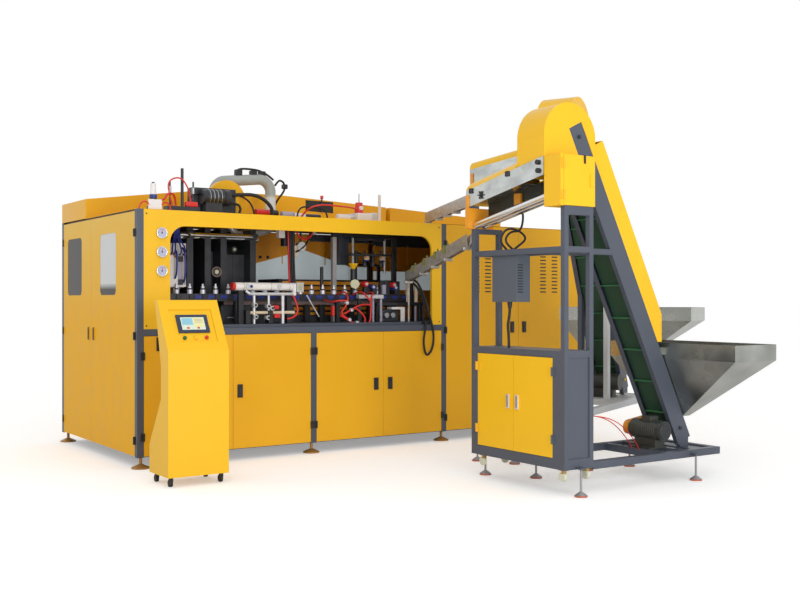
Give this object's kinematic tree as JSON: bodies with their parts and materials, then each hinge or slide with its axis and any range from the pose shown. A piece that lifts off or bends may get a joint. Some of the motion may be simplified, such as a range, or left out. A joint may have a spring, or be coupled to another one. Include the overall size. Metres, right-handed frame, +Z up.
{
  "type": "blow moulding machine",
  "caption": "Linear bottle blow moulding machine with a glazed yellow housing, control cabinet, operator console and inclined preform feeders with hoppers.",
  "frame": {"origin": "on the floor under the main machine's front left corner, on the underside of that corner's levelling foot", "axes": "+X along the machine towards its control cabinet, +Y from the operator side to the back, +Z up"},
  "size_m": [5.513, 5.9198, 3.335],
  "materials": {
    "yellow_paint": "gloss powder coat",
    "slate_paint": "satin powder coat",
    "bed_steel": "ground",
    "dark_metal": "satin black",
    "stainless": "mirror polished",
    "chrome": "polished",
    "aluminium": "anodised",
    "feet_paint": "gloss",
    "mandrel_plastic": "satin",
    "duct_grey": "satin",
    "gauge_steel": "satin",
    "belt_green": "matte",
    "hose_rubber": "satin",
    "screen_plastic": "gloss",
    "caster_plastic": "matte",
    "pane": "clear",
    "green_button": "gloss",
    "yellow_button": "gloss",
    "red_button": "gloss"
  },
  "bodies": {
    "line": {"bed_plate": "bed_steel", "body_panels": "yellow_paint", "casters": "caster_plastic", "chutes": "stainless", "clamp_cylinder": "aluminium", "clamp_frame": "bed_steel", "console_screen": "screen_plastic", "console_shell": "yellow_paint", "control_boxes": "slate_paint", "drive_motors": "dark_metal", "elevator_belts": "belt_green", "elevator_channels": "slate_paint", "elevator_covers": "yellow_paint", "elevator_hoods": "yellow_paint", "end_boxes": "feet_paint", "exhaust_duct": "duct_grey", "feeder_frames": "slate_paint", "front_fascia": "yellow_paint", "gauges": "gauge_steel", "hinges": "dark_metal", "hoppers": "stainless", "hoses": "hose_rubber", "levelling_feet": "feet_paint", "loader_frame": "slate_paint", "main_frame": "slate_paint", "mandrel_rail": "dark_metal", "mandrels": "mandrel_plastic", "oven_bank": "bed_steel", "rear_fittings": "yellow_paint", "rear_hood": "yellow_paint", "roof_units": "dark_metal", "servo_belt_guard": "yellow_paint", "tie_bars": "chrome", "transfer_unit": "aluminium", "unscrambler_sides": "stainless", "valve_block": "aluminium"},
    "end_door_front": {"end_door_front": "yellow_paint", "end_pane_front": "pane"},
    "end_door_rear": {"end_door_rear": "yellow_paint", "end_pane_rear": "pane"},
    "lower_door_1": {"lower_door_1": "yellow_paint"},
    "lower_door_2": {"lower_door_2": "yellow_paint"},
    "lower_door_3": {"lower_door_3": "yellow_paint"},
    "lower_door_4": {"lower_door_4": "yellow_paint"},
    "cabinet_door_left": {"cabinet_door_left": "yellow_paint"},
    "cabinet_door_right": {"cabinet_door_right": "yellow_paint"},
    "moving_platen": {"moving_platen": "bed_steel"},
    "loader_head": {"loader_head": "aluminium"},
    "transfer_gripper": {"transfer_gripper": "aluminium"},
    "feeder_door_left": {"feeder_door_left": "yellow_paint"},
    "feeder_door_right": {"feeder_door_right": "yellow_paint"},
    "roller_front": {"roller_front": "chrome"},
    "roller_rear": {"roller_rear": "chrome"},
    "head_pulley": {"head_pulley": "chrome"},
    "tail_pulley": {"tail_pulley": "chrome"},
    "unscrambler_lid": {"unscrambler_lid": "yellow_paint"},
    "hood_door": {"hood_door": "yellow_paint"},
    "start_button": {"start_button": "green_button"},
    "reset_button": {"reset_button": "yellow_button"},
    "stop_button": {"stop_button": "red_button"}
  },
  "joints": [
    {"name": "end_door_front_hinge", "type": "hinge", "parent": "line", "child": "end_door_front", "pos_m": [-0.0083, 0.0615, 1.2], "axis": [0, 0, 1], "range_deg": [0, 110]},
    {"name": "end_door_rear_hinge", "type": "hinge", "parent": "line", "child": "end_door_rear", "pos_m": [-0.0083, 2.1885, 1.2], "axis": [0, 0, -1], "range_deg": [0, 110]},
    {"name": "lower_door_1_hinge", "type": "hinge", "parent": "line", "child": "lower_door_1", "pos_m": [0.0615, -0.0083, 0.6], "axis": [0, 0, -1], "range_deg": [0, 55]},
    {"name": "lower_door_2_hinge", "type": "hinge", "parent": "line", "child": "lower_door_2", "pos_m": [1.7555, -0.0083, 0.6], "axis": [0, 0, 1], "range_deg": [0, 90]},
    {"name": "lower_door_3_hinge", "type": "hinge", "parent": "line", "child": "lower_door_3", "pos_m": [1.8185, -0.0083, 0.6], "axis": [0, 0, -1], "range_deg": [0, 90]},
    {"name": "lower_door_4_hinge", "type": "hinge", "parent": "line", "child": "lower_door_4", "pos_m": [3.3405, -0.0083, 0.6], "axis": [0, 0, 1], "range_deg": [0, 90]},
    {"name": "cabinet_door_left_hinge", "type": "hinge", "parent": "line", "child": "cabinet_door_left", "pos_m": [3.4035, -0.0083, 1.2], "axis": [0, 0, -1], "range_deg": [0, 90]},
    {"name": "cabinet_door_right_hinge", "type": "hinge", "parent": "line", "child": "cabinet_door_right", "pos_m": [5.3265, -0.0083, 1.2], "axis": [0, 0, 1], "range_deg": [0, 110]},
    {"name": "feeder_door_left_hinge", "type": "hinge", "parent": "line", "child": "feeder_door_left", "pos_m": [2.1987, -2.0465, 0.65], "axis": [0, 0, -1], "range_deg": [0, 110]},
    {"name": "feeder_door_right_hinge", "type": "hinge", "parent": "line", "child": "feeder_door_right", "pos_m": [2.1987, -2.9675, 0.65], "axis": [0, 0, 1], "range_deg": [0, 110]},
    {"name": "hood_door_hinge", "type": "hinge", "parent": "line", "child": "hood_door", "pos_m": [2.1945, -3.1133, 2.4], "axis": [0, 0, -1], "range_deg": [0, 110]},
    {"name": "unscrambler_lid_hinge", "type": "hinge", "parent": "line", "child": "unscrambler_lid", "pos_m": [2.408, -2.589, 2.53812], "axis": [0, 0.9813, -0.1925], "range_deg": [0, 75]},
    {"name": "roller_front_spin", "type": "hinge", "parent": "line", "child": "roller_front", "pos_m": [2.217, -2.6, 2.24628], "axis": [0, 0.9813, -0.1925], "continuous": true},
    {"name": "roller_rear_spin", "type": "hinge", "parent": "line", "child": "roller_rear", "pos_m": [2.299, -2.6, 2.24628], "axis": [0, 0.9813, -0.1925], "continuous": true},
    {"name": "head_pulley_spin", "type": "hinge", "parent": "line", "child": "head_pulley", "pos_m": [2.53514, -2.7625, 2.78693], "axis": [0, 1, 0], "continuous": true},
    {"name": "tail_pulley_spin", "type": "hinge", "parent": "line", "child": "tail_pulley", "pos_m": [3.71348, -2.7625, 0.40999], "axis": [0, 1, 0], "continuous": true},
    {"name": "clamp_slide", "type": "slide", "parent": "line", "child": "moving_platen", "axis": [-1, 0, 0], "range_m": [0, 0.095]},
    {"name": "loader_slide", "type": "slide", "parent": "line", "child": "loader_head", "axis": [0, 0, -1], "range_m": [0, 0.12]},
    {"name": "transfer_slide", "type": "slide", "parent": "line", "child": "transfer_gripper", "axis": [1, 0, 0], "range_m": [0, 0.3]},
    {"name": "start_button_press", "type": "slide", "parent": "line", "child": "start_button", "axis": [0, 0.8646, -0.5024], "range_m": [0, 0.004], "stiffness_N_per_m": 400, "springref_m": -0.01},
    {"name": "reset_button_press", "type": "slide", "parent": "line", "child": "reset_button", "axis": [0, 0.8646, -0.5024], "range_m": [0, 0.004], "stiffness_N_per_m": 400, "springref_m": -0.01},
    {"name": "stop_button_press", "type": "slide", "parent": "line", "child": "stop_button", "axis": [0, 0.8646, -0.5024], "range_m": [0, 0.004], "stiffness_N_per_m": 400, "springref_m": -0.01}
  ],
  "couplings": [
    {"joint": "tail_pulley_spin", "follows": "head_pulley_spin", "ratio": 1},
    {"joint": "roller_rear_spin", "follows": "roller_front_spin", "ratio": -1}
  ]
}
